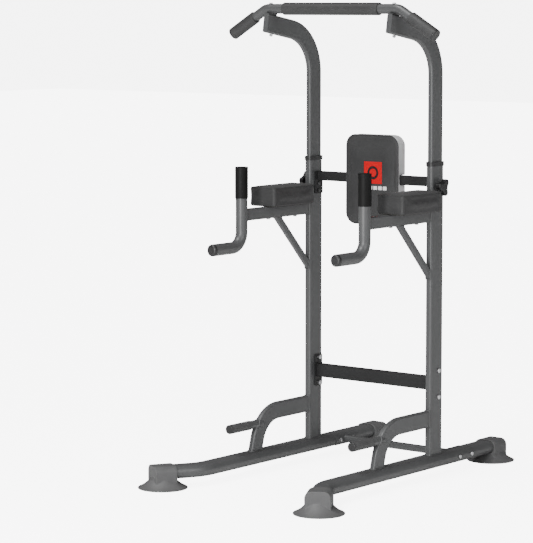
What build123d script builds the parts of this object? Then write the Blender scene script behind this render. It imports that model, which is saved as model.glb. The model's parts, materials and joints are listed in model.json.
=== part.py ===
"""Power tower: two telescoping posts on splayed base tubes, with dip handles, arm pads, a backrest,
foot pegs and a height-adjustable pull-up bar locked by two clamp knobs."""
import math
import os

from build123d import *

os.makedirs("parts", exist_ok=True)

# Driving dimensions, in millimetres. X runs across the tower, Y from front to rear, Z up.
post_spacing = 580
front_foot_reach = 825
rear_foot_reach = 401
post_y = (front_foot_reach - rear_foot_reach) / 2
fit_gap = 0.3

# Base tubes: flat-oval section, straight at the rear, turned outward at the front.
base_width = 80
base_height = 50
base_wall = 2.5
base_axis_z = 58.5
base_top_z = base_axis_z + base_height / 2
splay_angle = 30
splay_offset = 77
base_bend_radius = 150
tube_grip_in_foot = 34

# Rubber feet: a boot on the tube end, moulded with a suction cup.
boot_length = 84
boot_side_wall = 8
boot_top_wall = 3
boot_end_wall = 6
boot_corner_radius = 25
cup_radius = 94
cup_lip = 3
cup_neck_radius = 44
cup_neck_z = 42
cup_hollow_radius = 84
cup_hollow_depth = 12

# Lower posts and the plastic collars on top of them.
post_width = 30
post_depth = 80
post_radius = 10
post_wall = 2.5
post_top_z = 1204
collar_skirt = 13
collar_lip = 3
collar_wall = 3

# Upper tubes, which slide in the posts and bend forward into the necks.
slide_gap = 1.0
upper_width = post_width - 2 * post_wall - 2 * slide_gap
upper_depth = post_depth - 2 * post_wall - 2 * slide_gap
upper_radius = 7
upper_wall = 2
upper_bottom_z = 680
neck_reach = 300
neck_end_z = 1731
neck_slope = 9.5
neck_bend_radius = 170
neck_cap_thickness = 4
shoe_height = 40
shoe_flange = 6

# Pull-up bar with its grips.
bar_diameter = 38
bar_wall = 2
bar_setback = 29
bar_bend_margin = 22
bar_bend_radius = 60
bar_drop_angle = 30.8
bar_wing_length = 187
foam_thickness = 5
centre_grip_half = 224
wing_grip_length = 124
bar_cap_thickness = 5
bar_saddle_height = 2.7
bar_saddle_span = 50
bar_saddle_wrap = 3

# Curved braces and foot pegs.
brace_width = 24
brace_depth = 65
brace_radius = 7
brace_wall = 2
brace_z = 224
brace_foot_reach = 366
brace_foot_z = 93
brace_lean = 15
brace_bend_radius = 130
peg_z = 186
peg_diameter = 32
peg_wall = 2
peg_reach = 524
peg_sleeve_wall = 2
peg_sleeve_length = 118
peg_plug_face = 5
peg_plug_depth = 18

# Arms, struts and dip handles.
arm_width = 25
arm_height = 46
arm_radius = 5
arm_wall = 2
arm_bottom_z = 979
arm_top_z = arm_bottom_z + arm_height
strut_width = 20
strut_depth = 26
strut_radius = 5
strut_wall = 2
strut_top_reach = 231
strut_post_z = 780
handle_reach = 451
handle_width = 44
handle_depth = 46
handle_wall = 2
handle_top_z = 1184
handle_low_z = 881
handle_tip_reach = 620
handle_bend_radius = 58
grip_wall = 2.5
grip_length = 120
grip_end = 3
plug_rim = 5
plug_dome = 9
plug_depth = 22

# Arm pads: a cushion over a board, bolted up through the arm.
arm_pad_front = 312
arm_pad_rear = 55
arm_pad_width = 126
arm_pad_offset = 12
arm_pad_top_z = 1100
arm_pad_rim_gap = 2
arm_pad_radius = 12
board_thickness = 9
board_inset = 8
arm_bolt_reaches = (120, 288)

# Backrest: a moulded pad with a board inside, slotted over its bar.
backrest_width = 250
backrest_height = 350
backrest_radius = 45
backrest_front = -9
backrest_thickness = 50
backrest_bottom_z = 950
backrest_board_front = 6
backrest_board_thickness = 8
backrest_board_inset = 30
rest_bar_height = 37
rest_bar_depth = 25
rest_bar_wall = 2
rest_bar_z = 1128
rest_bar_front = backrest_front + backrest_board_front + backrest_board_thickness
end_plate_thickness = 4
end_plate_width = 50
end_plate_drop = 51
screw_setback = 10
screw_drops = (12, 39)
rest_bolt_spacing = 120
badge_size = 85
badge_thickness = 0.8
badge_x = 9
badge_z = 1153

# Lower crossbar between the posts and the tube between the base tubes.
crossbar_height = 53
crossbar_depth = 30
crossbar_wall = 2
crossbar_z = 355
crossbar_setback = 10
flange_height = 126
flange_width = 46
flange_thickness = 5
flange_bolt_spacing = 102
rear_tube_diameter = 30
rear_tube_wall = 2
rear_tube_reach = 165
saddle_length = 126
saddle_thickness = 3
saddle_depth = 11
saddle_bolt_spacing = 81

# Clamp knobs.
knob_z = 1111
knob_radius = 35
knob_lobe_radius = 13
knob_lobe_angle = 52
knob_hollow_radius = 30
knob_thickness = 20
knob_standoff = 13
stud_diameter = 10
stud_tip_gap = 0.4
nut_across_flats = 17
clamp_nut_thickness = 8

# Fasteners: diameter, head diameter and head height.
m10 = (10, 18, 5.5)
m8 = (8, 15, 4.5)
hole_clearance = 0.5

sides = (("left", -1), ("right", 1))


def post_x(sign):
    return sign * post_spacing / 2


def rounded_tube(width, height, radius, wall):
    """Section of a rounded rectangular tube, drawn in the open sketch."""
    RectangleRounded(width, height, radius)
    RectangleRounded(width - 2 * wall, height - 2 * wall, radius - wall, mode=Mode.SUBTRACT)


def oval_tube(width, height, wall):
    """Section of a flat-oval tube whose longer side is the width, drawn in the open sketch."""
    SlotOverall(width, height)
    SlotOverall(width - 2 * wall, height - 2 * wall, mode=Mode.SUBTRACT)


def across(x, sign=1):
    """Plane facing sideways at x, with local X along Y and local Y along sign * Z."""
    return Plane(origin=(x, 0, 0), x_dir=(0, 1, 0), z_dir=(sign, 0, 0))


def cross_pin(y, z, diameter, x_from, x_to):
    """Round bar along X, taken out of a part to leave a hole."""
    with BuildPart() as pin:
        with BuildSketch(Plane.YZ.offset(min(x_from, x_to))):
            with Locations((y, z)):
                Circle(diameter / 2)
        extrude(amount=abs(x_to - x_from))
    return pin.part


def bolt(origin, direction, grip, size):
    """Domed bolt: the head stands on the origin, and the shank runs against the direction."""
    diameter, head, height = size
    with BuildPart() as screw:
        with BuildSketch(Plane(origin=origin, z_dir=direction)):
            Circle(head / 2)
        extrude(amount=height)
        fillet(screw.edges().group_by(SortBy.LENGTH)[-1], height * 0.45)
        with BuildSketch(Plane(origin=origin, z_dir=direction)):
            Circle(diameter / 2)
        extrude(amount=-grip)
    return screw.part


def nut(origin, direction, size, height):
    """Hexagon nut standing on the origin, with its bore on the bolt's shank."""
    with BuildPart() as hexagon:
        with BuildSketch(Plane(origin=origin, z_dir=direction)):
            RegularPolygon(size[1] * 0.5, 6)
            Circle(size[0] / 2, mode=Mode.SUBTRACT)
        extrude(amount=height)
    return hexagon.part


def foot_axis(sign, is_front):
    """Centre of a foot on the base tube's axis, and the tube's direction there."""
    if is_front:
        turn = math.radians(splay_angle)
        centre = Vector(post_x(sign) + sign * splay_offset, post_y - front_foot_reach, base_axis_z)
        return centre, Vector(sign * math.sin(turn), -math.cos(turn), 0)
    return Vector(post_x(sign), post_y + rear_foot_reach, base_axis_z), Vector(0, 1, 0)


# Base tubes, with holes for the rear tube's bolts.
rear_tube_y = post_y + rear_tube_reach
saddle_bolt_ys = (rear_tube_y - saddle_bolt_spacing / 2, rear_tube_y + saddle_bolt_spacing / 2)
for side, sign in sides:
    rear_centre, rear_way = foot_axis(sign, False)
    front_centre, front_way = foot_axis(sign, True)
    bend_y = front_centre.Y + splay_offset / math.tan(math.radians(splay_angle))
    with BuildPart() as base_tube:
        with BuildLine():
            base_path = FilletPolyline(
                rear_centre + rear_way * tube_grip_in_foot,
                (post_x(sign), bend_y, base_axis_z),
                front_centre + front_way * tube_grip_in_foot,
                radius=base_bend_radius,
            )
        with BuildSketch(Plane(origin=base_path @ 0, x_dir=(1, 0, 0), z_dir=base_path % 0)):
            oval_tube(base_width, base_height, base_wall)
        sweep()
        for y in saddle_bolt_ys:
            hole_from = post_x(sign) - base_width
            hole_to = post_x(sign) + base_width
            add(cross_pin(y, base_axis_z, m8[0] + hole_clearance, hole_from, hole_to), mode=Mode.SUBTRACT)
    base_tube.part.label = f"{side}_base_tube"
    export_step(base_tube.part, f"parts/{side}_base_tube.step")

# Feet: the boot grips the tube end, and the cup stands on the floor.
boot_width = base_width + 2 * boot_side_wall
boot_top_z = base_top_z + boot_top_wall
for side, sign in sides:
    for place, is_front in (("front", True), ("rear", False)):
        centre, way = foot_axis(sign, is_front)
        level = Vector(-way.Y, way.X, 0)
        opening = centre - way * boot_length / 2
        with BuildPart() as foot:
            with BuildSketch(Plane(origin=(centre.X, centre.Y, 0), x_dir=way, z_dir=-level)):
                with BuildLine():
                    cup_profile = Polyline(
                        (0, cup_neck_z),
                        (0, cup_hollow_depth),
                        (cup_hollow_radius * 0.6, cup_hollow_depth),
                        (cup_hollow_radius, 0),
                        (cup_radius, 0),
                        (cup_radius, cup_lip),
                    )
                    flare = RadiusArc(cup_profile @ 1, (cup_neck_radius, cup_neck_z), 110)
                    Line(flare @ 1, cup_profile @ 0)
                make_face()
            revolve(axis=Axis((centre.X, centre.Y, 0), (0, 0, 1)))
            with BuildSketch(Plane(origin=opening - Vector(0, 0, base_axis_z), x_dir=level, z_dir=way)):
                with Locations((0, (boot_top_z + cup_hollow_depth + cup_lip) / 2)):
                    boot = Rectangle(boot_width, boot_top_z - cup_hollow_depth - cup_lip)
                fillet(boot.vertices().group_by(Axis.Y)[-1], boot_corner_radius)
            extrude(amount=boot_length)
            with BuildSketch(Plane(origin=opening - way * cup_radius, x_dir=level, z_dir=way)):
                SlotOverall(base_width + 2 * fit_gap, base_height + 2 * fit_gap)
            extrude(amount=cup_radius + boot_length - boot_end_wall, mode=Mode.SUBTRACT)
        foot.part.label = f"{side}_{place}_foot"
        export_step(foot.part, f"parts/{side}_{place}_foot.step")

# Lower posts, standing on the flat top of the base tubes.
rest_bar_low_z = rest_bar_z - rest_bar_height / 2
screw_heights = [rest_bar_low_z - drop for drop in screw_drops]
crossbar_y = post_y + crossbar_setback
flange_bolt_zs = (crossbar_z - flange_bolt_spacing / 2, crossbar_z + flange_bolt_spacing / 2)
for side, sign in sides:
    outer_face = post_x(sign) + sign * post_width / 2
    inner_face = post_x(sign) - sign * post_width / 2
    with BuildPart() as lower_post:
        with BuildSketch(Plane.XY.offset(base_top_z)):
            with Locations((post_x(sign), post_y)):
                rounded_tube(post_width, post_depth, post_radius, post_wall)
        extrude(amount=post_top_z - base_top_z)
        for z in flange_bolt_zs:
            flange_hole = cross_pin(crossbar_y, z, m10[0] + hole_clearance, inner_face - sign, outer_face + sign)
            add(flange_hole, mode=Mode.SUBTRACT)
        for z in screw_heights:
            screw_hole = cross_pin(post_y + screw_setback, z, m8[0], inner_face - sign, post_x(sign))
            add(screw_hole, mode=Mode.SUBTRACT)
        stud_hole = cross_pin(post_y, knob_z, stud_diameter + 2 * fit_gap, post_x(sign), outer_face + sign)
        add(stud_hole, mode=Mode.SUBTRACT)
    lower_post.part.label = f"{side}_lower_post"
    export_step(lower_post.part, f"parts/{side}_lower_post.step")

# Collars: a skirt round the post with a lip that closes in on the upper tube.
for side, sign in sides:
    with BuildPart() as collar:
        with BuildSketch(Plane.XY.offset(post_top_z - collar_skirt)):
            with Locations((post_x(sign), post_y)):
                rounded_tube(
                    post_width + 2 * collar_wall,
                    post_depth + 2 * collar_wall,
                    post_radius + collar_wall,
                    collar_wall,
                )
        extrude(amount=collar_skirt)
        with BuildSketch(Plane.XY.offset(post_top_z)):
            with Locations((post_x(sign), post_y)):
                rounded_tube(
                    post_width + 2 * collar_wall,
                    post_depth + 2 * collar_wall,
                    post_radius + collar_wall,
                    collar_wall + post_wall + slide_gap - fit_gap,
                )
        extrude(amount=collar_lip)
    collar.part.label = f"{side}_collar"
    export_step(collar.part, f"parts/{side}_collar.step")


def brace_solid(sign, is_hollow):
    """Curved brace from the front of the post to the top of the base tube, hollow or filled."""
    lean = math.tan(math.radians(brace_lean))
    corner_y = post_y - brace_foot_reach + (brace_z - brace_foot_z) * lean
    with BuildPart() as brace:
        with BuildLine():
            path = FilletPolyline(
                (post_x(sign), post_y - post_depth / 2, brace_z),
                (post_x(sign), corner_y, brace_z),
                (post_x(sign), corner_y - (brace_z - base_axis_z) * lean, base_axis_z),
                radius=brace_bend_radius,
            )
        with BuildSketch(Plane(origin=path @ 0, x_dir=(1, 0, 0), z_dir=path % 0)):
            if is_hollow:
                rounded_tube(brace_width, brace_depth, brace_radius, brace_wall)
            else:
                RectangleRounded(brace_width, brace_depth, brace_radius)
        sweep()
        split(bisect_by=Plane.XY.offset(base_top_z), keep=Keep.TOP)
    return brace.part


# Braces with their foot pegs and the sleeves on the pegs.
peg_front_y = post_y - peg_reach
for side, sign in sides:
    with BuildPart() as brace:
        add(brace_solid(sign, is_hollow=True))
    brace.part.label = f"{side}_brace"
    export_step(brace.part, f"parts/{side}_brace.step")

    peg_rear_y = post_y - brace_foot_reach + brace_depth / 2
    with BuildPart() as peg:
        with BuildSketch(Plane(origin=(post_x(sign), peg_rear_y, peg_z), z_dir=(0, -1, 0))):
            Circle(peg_diameter / 2)
            Circle(peg_diameter / 2 - peg_wall, mode=Mode.SUBTRACT)
        extrude(amount=peg_rear_y - peg_front_y)
        add(brace_solid(sign, is_hollow=False), mode=Mode.SUBTRACT)
    peg.part.label = f"{side}_peg"
    export_step(peg.part, f"parts/{side}_peg.step")

    with BuildPart() as sleeve:
        with BuildSketch(Plane(origin=(post_x(sign), peg_front_y, peg_z), z_dir=(0, 1, 0))):
            Circle(peg_diameter / 2 + peg_sleeve_wall)
            Circle(peg_diameter / 2, mode=Mode.SUBTRACT)
        extrude(amount=peg_sleeve_length)
    sleeve.part.label = f"{side}_peg_sleeve"
    export_step(sleeve.part, f"parts/{side}_peg_sleeve.step")


def peg_plug(sign):
    """End plug of a foot peg: a rounded face over the tube and sleeve ends, a shank inside the tube."""
    face_plane = Plane(origin=(post_x(sign), peg_front_y, peg_z), z_dir=(0, -1, 0))
    with BuildPart() as plug:
        with BuildSketch(face_plane):
            Circle(peg_diameter / 2 + peg_sleeve_wall)
        extrude(amount=peg_plug_face)
        fillet(plug.edges().group_by(Axis.Y)[0], peg_plug_face * 0.6)
        with BuildSketch(face_plane):
            Circle(peg_diameter / 2 - peg_wall)
        extrude(amount=-peg_plug_depth)
    return plug.part


with BuildPart() as peg_plugs:
    for side, sign in sides:
        add(peg_plug(sign))
peg_plugs.part.label = "peg_plugs"
export_step(peg_plugs.part, "parts/peg_plugs.step")

# Lower crossbar, welded between two flange plates.
inner_half = post_spacing / 2 - post_width / 2
with BuildPart() as lower_crossbar:
    with BuildSketch(Plane.YZ.offset(-inner_half + flange_thickness)):
        with Locations((crossbar_y, crossbar_z)):
            rounded_tube(crossbar_depth, crossbar_height, 5, crossbar_wall)
    extrude(amount=2 * (inner_half - flange_thickness))
    for start in (-inner_half, inner_half - flange_thickness):
        with BuildSketch(Plane.YZ.offset(start)):
            with Locations((crossbar_y, crossbar_z)):
                RectangleRounded(flange_width, flange_height, 8)
            with Locations((crossbar_y, flange_bolt_zs[0]), (crossbar_y, flange_bolt_zs[1])):
                Circle(m10[0] / 2 + hole_clearance / 2, mode=Mode.SUBTRACT)
        extrude(amount=flange_thickness)
lower_crossbar.part.label = "lower_crossbar"
export_step(lower_crossbar.part, "parts/lower_crossbar.step")

crossbar_nut_height = 8
with BuildPart() as crossbar_bolts:
    for side, sign in sides:
        outer_face = post_x(sign) + sign * post_width / 2
        for z in flange_bolt_zs:
            grip = post_width + flange_thickness + crossbar_nut_height + 3
            add(bolt((outer_face, crossbar_y, z), (sign, 0, 0), grip, m10))
crossbar_bolts.part.label = "crossbar_bolts"
export_step(crossbar_bolts.part, "parts/crossbar_bolts.step")

with BuildPart() as crossbar_nuts:
    for side, sign in sides:
        for z in flange_bolt_zs:
            seat = (sign * (inner_half - flange_thickness), crossbar_y, z)
            add(nut(seat, (-sign, 0, 0), m10, crossbar_nut_height))
crossbar_nuts.part.label = "crossbar_nuts"
export_step(crossbar_nuts.part, "parts/crossbar_nuts.step")

# Rear tube between the base tubes, with a curved saddle at each end.
flank_x = post_spacing / 2 - (base_width - base_height) / 2
saddle_inner = base_height / 2 + fit_gap
saddle_outer = saddle_inner + saddle_thickness


def saddle_plane(sign):
    """Plane at the front end of a saddle, on the centre of the base tube's rounded flank."""
    origin = (sign * flank_x, rear_tube_y - saddle_length / 2, base_axis_z)
    return Plane(origin=origin, x_dir=(-sign, 0, 0), z_dir=(0, 1, 0))


with BuildPart() as rear_tube:
    with BuildSketch(Plane.YZ.offset(-flank_x)):
        with Locations((rear_tube_y, base_axis_z)):
            Circle(rear_tube_diameter / 2)
            Circle(rear_tube_diameter / 2 - rear_tube_wall, mode=Mode.SUBTRACT)
    extrude(amount=2 * flank_x)
    for sign in (-1, 1):
        with BuildSketch(saddle_plane(sign)):
            Circle(saddle_inner + saddle_thickness / 2)
        extrude(amount=saddle_length, mode=Mode.SUBTRACT)
    for sign in (-1, 1):
        with BuildSketch(saddle_plane(sign)):
            Circle(saddle_outer)
            Circle(saddle_inner, mode=Mode.SUBTRACT)
            with Locations((saddle_outer, 0)):
                Rectangle(2 * saddle_depth, 2 * saddle_outer, mode=Mode.INTERSECT)
        extrude(amount=saddle_length)
    for y in saddle_bolt_ys:
        saddle_hole = cross_pin(y, base_axis_z, m8[0] + hole_clearance, -post_spacing / 2, post_spacing / 2)
        add(saddle_hole, mode=Mode.SUBTRACT)
rear_tube.part.label = "rear_tube"
export_step(rear_tube.part, "parts/rear_tube.step")

saddle_nut_height = 7
with BuildPart() as rear_tube_bolts:
    for side, sign in sides:
        for y in saddle_bolt_ys:
            head = (post_x(sign) + sign * base_width / 2, y, base_axis_z)
            grip = base_width + fit_gap + saddle_thickness + saddle_nut_height + 2
            add(bolt(head, (sign, 0, 0), grip, m8))
rear_tube_bolts.part.label = "rear_tube_bolts"
export_step(rear_tube_bolts.part, "parts/rear_tube_bolts.step")

with BuildPart() as rear_tube_nuts:
    for side, sign in sides:
        for y in saddle_bolt_ys:
            seat = (sign * (flank_x - saddle_outer), y, base_axis_z)
            add(nut(seat, (-sign, 0, 0), m8, saddle_nut_height))
rear_tube_nuts.part.label = "rear_tube_nuts"
export_step(rear_tube_nuts.part, "parts/rear_tube_nuts.step")

# Backrest bar with an end plate screwed to the inner face of each post.
rest_bar_y = post_y + rest_bar_front + rest_bar_depth / 2
plate_top_z = rest_bar_z + rest_bar_height / 2
end_plate_height = rest_bar_height + end_plate_drop
screw_y = post_y + screw_setback
with BuildPart() as backrest_bar:
    with BuildSketch(Plane.YZ.offset(-inner_half + end_plate_thickness)):
        with Locations((rest_bar_y, rest_bar_z)):
            rounded_tube(rest_bar_depth, rest_bar_height, 4, rest_bar_wall)
    extrude(amount=2 * (inner_half - end_plate_thickness))
    for start in (-inner_half, inner_half - end_plate_thickness):
        with BuildSketch(Plane.YZ.offset(start)):
            with Locations((screw_y, plate_top_z - end_plate_height / 2)):
                RectangleRounded(end_plate_width, end_plate_height, 6)
            with Locations(*[(screw_y, z) for z in screw_heights]):
                Circle(m8[0] / 2 + hole_clearance / 2, mode=Mode.SUBTRACT)
        extrude(amount=end_plate_thickness)
    rest_bolt_xs = (-rest_bolt_spacing / 2, rest_bolt_spacing / 2)
    with BuildSketch(Plane.XZ.offset(-rest_bar_y)):
        with Locations(*[(x, rest_bar_z) for x in rest_bolt_xs]):
            Circle(m8[0] / 2 + hole_clearance / 2)
    extrude(amount=rest_bar_depth, both=True, mode=Mode.SUBTRACT)
backrest_bar.part.label = "backrest_bar"
export_step(backrest_bar.part, "parts/backrest_bar.step")

with BuildPart() as end_plate_screws:
    for side, sign in sides:
        for z in screw_heights:
            seat = (sign * (inner_half - end_plate_thickness), screw_y, z)
            add(bolt(seat, (-sign, 0, 0), end_plate_thickness + post_wall, m8))
end_plate_screws.part.label = "end_plate_screws"
export_step(end_plate_screws.part, "parts/end_plate_screws.step")

# Backrest pad: the cushion is moulded round a board, and its back is slotted for the bar.
rest_front_y = post_y + backrest_front
rest_rear_y = rest_front_y + backrest_thickness
board_y = rest_front_y + backrest_board_front
rest_middle_z = backrest_bottom_z + backrest_height / 2
board_width = backrest_width - 2 * backrest_board_inset
board_height = backrest_height - 2 * backrest_board_inset
with BuildPart() as backrest_cushion:
    with BuildSketch(Plane.XZ.offset(-rest_rear_y)):
        with Locations((0, rest_middle_z)):
            RectangleRounded(backrest_width, backrest_height, backrest_radius)
    extrude(amount=backrest_thickness)
    fillet(backrest_cushion.edges().group_by(Axis.Y)[0], 5)
    with BuildSketch(Plane.XZ.offset(-(board_y + backrest_board_thickness))):
        with Locations((0, rest_middle_z)):
            RectangleRounded(board_width, board_height, backrest_radius - backrest_board_inset)
    extrude(amount=backrest_board_thickness, mode=Mode.SUBTRACT)
    with BuildSketch(Plane.XZ.offset(-rest_rear_y)):
        with Locations((0, rest_bar_z)):
            Rectangle(backrest_width + 2, rest_bar_height)
    extrude(amount=rest_rear_y - board_y - backrest_board_thickness, mode=Mode.SUBTRACT)
backrest_cushion.part.label = "backrest_cushion"
export_step(backrest_cushion.part, "parts/backrest_cushion.step")

rest_bolt_length = rest_bar_depth + backrest_board_thickness - 1
with BuildPart() as backrest_board:
    with BuildSketch(Plane.XZ.offset(-(board_y + backrest_board_thickness))):
        with Locations((0, rest_middle_z)):
            RectangleRounded(board_width, board_height, backrest_radius - backrest_board_inset)
    extrude(amount=backrest_board_thickness)
    with BuildSketch(Plane.XZ.offset(-(board_y + backrest_board_thickness))):
        with Locations(*[(x, rest_bar_z) for x in rest_bolt_xs]):
            Circle(m8[0] / 2)
    extrude(amount=backrest_board_thickness - 1, mode=Mode.SUBTRACT)
backrest_board.part.label = "backrest_board"
export_step(backrest_board.part, "parts/backrest_board.step")

with BuildPart() as backrest_bolts:
    for x in rest_bolt_xs:
        head = (x, rest_bar_y + rest_bar_depth / 2, rest_bar_z)
        add(bolt(head, (0, 1, 0), rest_bolt_length, m8))
backrest_bolts.part.label = "backrest_bolts"
export_step(backrest_bolts.part, "parts/backrest_bolts.step")

with BuildPart() as backrest_badge:
    with BuildSketch(Plane.XZ.offset(-rest_front_y)):
        with Locations((badge_x, badge_z)):
            RectangleRounded(badge_size, badge_size, 4)
    extrude(amount=badge_thickness)
backrest_badge.part.label = "backrest_badge"
export_step(backrest_badge.part, "parts/backrest_badge.step")


def handle_solid(sign, is_hollow):
    """Dip handle: down from the grip, round a bend and forward, hollow or filled."""
    handle_y = post_y - handle_reach
    with BuildPart() as handle:
        with BuildLine():
            path = FilletPolyline(
                (post_x(sign), handle_y, handle_top_z),
                (post_x(sign), handle_y, handle_low_z),
                (post_x(sign), post_y - handle_tip_reach, handle_low_z),
                radius=handle_bend_radius,
            )
        with BuildSketch(Plane(origin=path @ 0, x_dir=(0, 1, 0), z_dir=path % 0)):
            if is_hollow:
                oval_tube(handle_depth, handle_width, handle_wall)
            else:
                SlotOverall(handle_depth, handle_width)
        sweep()
    return handle.part


# Arms with struts, handles, grips and end plugs.
arm_length = handle_reach - post_depth / 2
arm_front_y = post_y - handle_reach
post_front_y = post_y - post_depth / 2
strut_top = Vector(0, post_y - strut_top_reach, arm_bottom_z)
strut_low = Vector(0, post_front_y, strut_post_z)
strut_way = (strut_low - strut_top).normalized()
for side, sign in sides:
    x = post_x(sign)
    with BuildPart() as arm:
        with BuildSketch(Plane(origin=(x, post_front_y, arm_bottom_z), x_dir=(1, 0, 0), z_dir=(0, -1, 0))):
            with Locations((0, arm_height / 2)):
                rounded_tube(arm_width, arm_height, arm_radius, arm_wall)
        extrude(amount=arm_length)
        add(handle_solid(sign, is_hollow=False), mode=Mode.SUBTRACT)
        with BuildSketch(Plane.XY.offset(arm_bottom_z)):
            with Locations(*[(x, post_y - reach) for reach in arm_bolt_reaches]):
                Circle(m8[0] / 2 + hole_clearance / 2)
        extrude(amount=arm_height, mode=Mode.SUBTRACT)
    arm.part.label = f"{side}_arm"
    export_step(arm.part, f"parts/{side}_arm.step")

    with BuildPart() as strut:
        start = strut_top + Vector(x, 0, 0) - strut_way * strut_depth
        with BuildSketch(Plane(origin=start, x_dir=(1, 0, 0), z_dir=strut_way)):
            rounded_tube(strut_width, strut_depth, strut_radius, strut_wall)
        extrude(amount=(strut_low - strut_top).length + 2 * strut_depth)
        split(bisect_by=Plane.XY.offset(arm_bottom_z), keep=Keep.BOTTOM)
        split(bisect_by=Plane(origin=(0, post_front_y, 0), z_dir=(0, 1, 0)), keep=Keep.BOTTOM)
    strut.part.label = f"{side}_strut"
    export_step(strut.part, f"parts/{side}_strut.step")

    with BuildPart() as handle:
        add(handle_solid(sign, is_hollow=True))
    handle.part.label = f"{side}_handle"
    export_step(handle.part, f"parts/{side}_handle.step")

    grip_plane = Plane.XY.offset(handle_top_z + grip_end - grip_length)
    with BuildPart() as grip:
        with BuildSketch(grip_plane):
            with Locations((x, arm_front_y)):
                SlotOverall(handle_depth + 2 * grip_wall, handle_width + 2 * grip_wall, 90)
        extrude(amount=grip_length)
        fillet(grip.edges().group_by(Axis.Z)[-1], grip_end * 0.6)
        with BuildSketch(grip_plane):
            with Locations((x, arm_front_y)):
                SlotOverall(handle_depth, handle_width, 90)
        extrude(amount=grip_length - grip_end, mode=Mode.SUBTRACT)
    grip.part.label = f"{side}_handle_grip"
    export_step(grip.part, f"parts/{side}_handle_grip.step")


def handle_plug(sign):
    """End plug of a dip handle: a rim and a dome outside the tube, a shank inside it."""
    tip = Vector(post_x(sign), post_y - handle_tip_reach, handle_low_z)
    rim_plane = Plane(origin=tip, x_dir=(0, 0, 1), z_dir=(0, -1, 0))
    with BuildPart() as plug:
        with BuildSketch(rim_plane):
            SlotOverall(handle_depth, handle_width)
        extrude(amount=plug_rim + plug_dome)
        fillet(plug.edges().group_by(Axis.Y)[0], plug_dome)
        with BuildSketch(rim_plane):
            SlotOverall(handle_depth - 2 * handle_wall, handle_width - 2 * handle_wall)
        extrude(amount=-plug_depth)
    return plug.part


with BuildPart() as handle_plugs:
    for side, sign in sides:
        add(handle_plug(sign))
handle_plugs.part.label = "handle_plugs"
export_step(handle_plugs.part, "parts/handle_plugs.step")

# Arm pads: the cushion's underside is recessed for the board, which rests on the arm.
pad_length = arm_pad_front - arm_pad_rear
pad_middle_y = post_y - (arm_pad_front + arm_pad_rear) / 2
pad_rim_z = arm_top_z + arm_pad_rim_gap
board_top_z = arm_top_z + board_thickness
for side, sign in sides:
    with BuildPart() as arm_pad:
        with BuildSketch(Plane.XY.offset(pad_rim_z)):
            with Locations((post_x(sign) + sign * arm_pad_offset, pad_middle_y)):
                RectangleRounded(arm_pad_width, pad_length, arm_pad_radius)
        extrude(amount=arm_pad_top_z - pad_rim_z)
        fillet(arm_pad.edges().group_by(Axis.Z)[-1], 8)
        with BuildSketch(Plane.XY.offset(pad_rim_z)):
            with Locations((post_x(sign) + sign * arm_pad_offset, pad_middle_y)):
                Rectangle(arm_pad_width - 2 * board_inset, pad_length - 2 * board_inset)
        extrude(amount=board_top_z - pad_rim_z, mode=Mode.SUBTRACT)
    arm_pad.part.label = f"{side}_arm_pad"
    export_step(arm_pad.part, f"parts/{side}_arm_pad.step")

with BuildPart() as arm_pad_boards:
    for side, sign in sides:
        with BuildSketch(Plane.XY.offset(arm_top_z)):
            with Locations((post_x(sign) + sign * arm_pad_offset, pad_middle_y)):
                Rectangle(arm_pad_width - 2 * board_inset, pad_length - 2 * board_inset)
        extrude(amount=board_thickness)
        with BuildSketch(Plane.XY.offset(arm_top_z)):
            with Locations(*[(post_x(sign), post_y - reach) for reach in arm_bolt_reaches]):
                Circle(m8[0] / 2)
        extrude(amount=board_thickness - 1, mode=Mode.SUBTRACT)
arm_pad_boards.part.label = "arm_pad_boards"
export_step(arm_pad_boards.part, "parts/arm_pad_boards.step")

with BuildPart() as arm_pad_bolts:
    for side, sign in sides:
        for reach in arm_bolt_reaches:
            head = (post_x(sign), post_y - reach, arm_bottom_z)
            add(bolt(head, (0, 0, -1), arm_height + board_thickness - 1, m8))
arm_pad_bolts.part.label = "arm_pad_bolts"
export_step(arm_pad_bolts.part, "parts/arm_pad_bolts.step")

# Upper tubes: straight inside the post, then bent forward and slightly up to the pull-up bar.
neck_end = Vector(0, post_y - neck_reach, neck_end_z)
neck_way = Vector(0, -math.cos(math.radians(neck_slope)), math.sin(math.radians(neck_slope)))
neck_corner_z = neck_end_z - neck_reach * math.tan(math.radians(neck_slope))
bar_y = neck_end.Y + bar_setback
neck_centre_at_bar = neck_end_z - bar_setback * math.tan(math.radians(neck_slope))
neck_half_rise = upper_depth / 2 / math.cos(math.radians(neck_slope))
for side, sign in sides:
    x = post_x(sign)
    with BuildPart() as neck:
        with BuildLine():
            neck_path = FilletPolyline(
                (x, post_y, upper_bottom_z),
                (x, post_y, neck_corner_z),
                (x, neck_end.Y, neck_end.Z),
                radius=neck_bend_radius,
            )
        with BuildSketch(Plane(origin=neck_path @ 0, x_dir=(1, 0, 0), z_dir=neck_path % 0)):
            rounded_tube(upper_width, upper_depth, upper_radius, upper_wall)
        sweep()
        with BuildSketch(Plane.XY.offset(neck_centre_at_bar)):
            with Locations((x, bar_y)):
                Circle(m8[0] / 2 + hole_clearance / 2)
        extrude(amount=upper_depth, both=True, mode=Mode.SUBTRACT)
    neck.part.label = f"{side}_neck"
    export_step(neck.part, f"parts/{side}_neck.step")

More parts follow.
